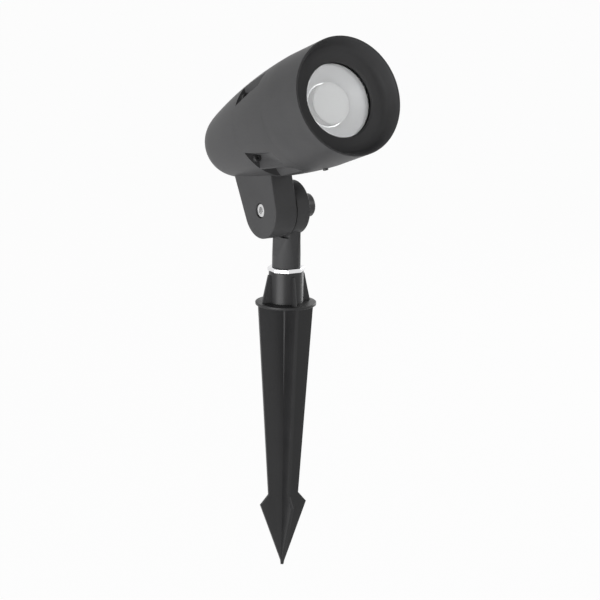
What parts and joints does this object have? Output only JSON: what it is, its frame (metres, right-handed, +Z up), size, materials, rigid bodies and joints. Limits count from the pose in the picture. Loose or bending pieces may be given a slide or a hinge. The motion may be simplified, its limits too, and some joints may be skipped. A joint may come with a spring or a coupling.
{
  "type": "garden spike spotlight",
  "caption": "Round bullet-shaped garden spotlight with a deep-set lens, on a tilting arm and a short stem that turns in a pointed, finned ground spike.",
  "frame": {"origin": "on the axis of the stem and spike, at the underside of the spike's flange, where the ground comes to", "axes": "+Z up along the stem; the tilt axis is parallel to X; the head looks towards -Y and up"},
  "size_m": [0.0868, 0.1875, 0.4127],
  "materials": {
    "cast_paint": "cast aluminium under dark grey powder coat, satin",
    "spike_plastic": "moulded black plastic, faintly satin",
    "black_plastic": "moulded black nylon",
    "zinc_steel": "bright zinc plate",
    "stainless": "plain stainless steel",
    "black_steel": "black oxide steel",
    "clear_glass": "clear toughened glass",
    "clear_optic": "clear acrylic",
    "black_rubber": "black silicone rubber",
    "bright_reflector": "metallised plastic",
    "white_plastic": "white moulded plastic",
    "white_board": "white solder mask on aluminium",
    "phosphor": "yellow phosphor under clear silicone",
    "grey_silicone": "grey silicone pad",
    "bare_aluminium": "bare sheet aluminium",
    "green_board": "green solder mask",
    "yellow_tape": "ferrite core under yellow tape",
    "capacitor_sleeve": "dark shrink sleeve",
    "green_plastic": "green moulded plastic",
    "lead_insulation": "red silicone insulation"
  },
  "bodies": {
    "spike": {"ground_spike": "spike_plastic"},
    "stem": {"stem": "cast_paint", "clamp_nut": "black_steel", "friction_washer": "black_plastic"},
    "lock_ring": {"lock_ring": "zinc_steel"},
    "tilt_screw": {"tilt_screw": "stainless", "screw_washer": "stainless"},
    "head": {"hood": "cast_paint", "lens_glass": "clear_glass", "lens_gasket": "black_rubber", "front_housing": "cast_paint", "rear_housing": "cast_paint", "reflector": "bright_reflector", "optic_lens": "clear_optic", "optic_holder": "bright_reflector", "led_board": "white_board", "led_chip": "phosphor", "thermal_pad": "grey_silicone", "led_board_screws": "stainless", "housing_screws": "black_steel", "hood_grub_screw": "black_steel", "hood_seal": "black_rubber", "housing_seal": "black_rubber", "driver_tray": "bare_aluminium", "tray_screws": "stainless", "board_posts": "white_plastic", "driver_board": "green_board", "driver_transformer": "yellow_tape", "driver_capacitors": "capacitor_sleeve", "terminal_block": "green_plastic", "led_leads": "lead_insulation", "gland_body": "black_plastic", "gland_washer": "black_rubber", "gland_locknut": "black_plastic", "gland_seal": "black_rubber", "gland_nut": "black_plastic"}
  },
  "joints": [
    {"name": "pan", "type": "hinge", "parent": "spike", "child": "stem", "pos_m": [0, 0, 0], "axis": [0, 0, 1], "range_deg": [-180, 180]},
    {"name": "lock_ring_turn", "type": "hinge", "parent": "stem", "child": "lock_ring", "pos_m": [0, 0, 0], "axis": [0, 0, 1], "range_deg": [0, 60]},
    {"name": "tilt_screw_turn", "type": "hinge", "parent": "stem", "child": "tilt_screw", "pos_m": [0, 0, 0.0729], "axis": [1, 0, 0], "range_deg": [0, 90]},
    {"name": "tilt", "type": "hinge", "parent": "stem", "child": "head", "pos_m": [0, 0, 0.0729], "axis": [-1, 0, 0], "range_deg": [-75, 60]}
  ]
}
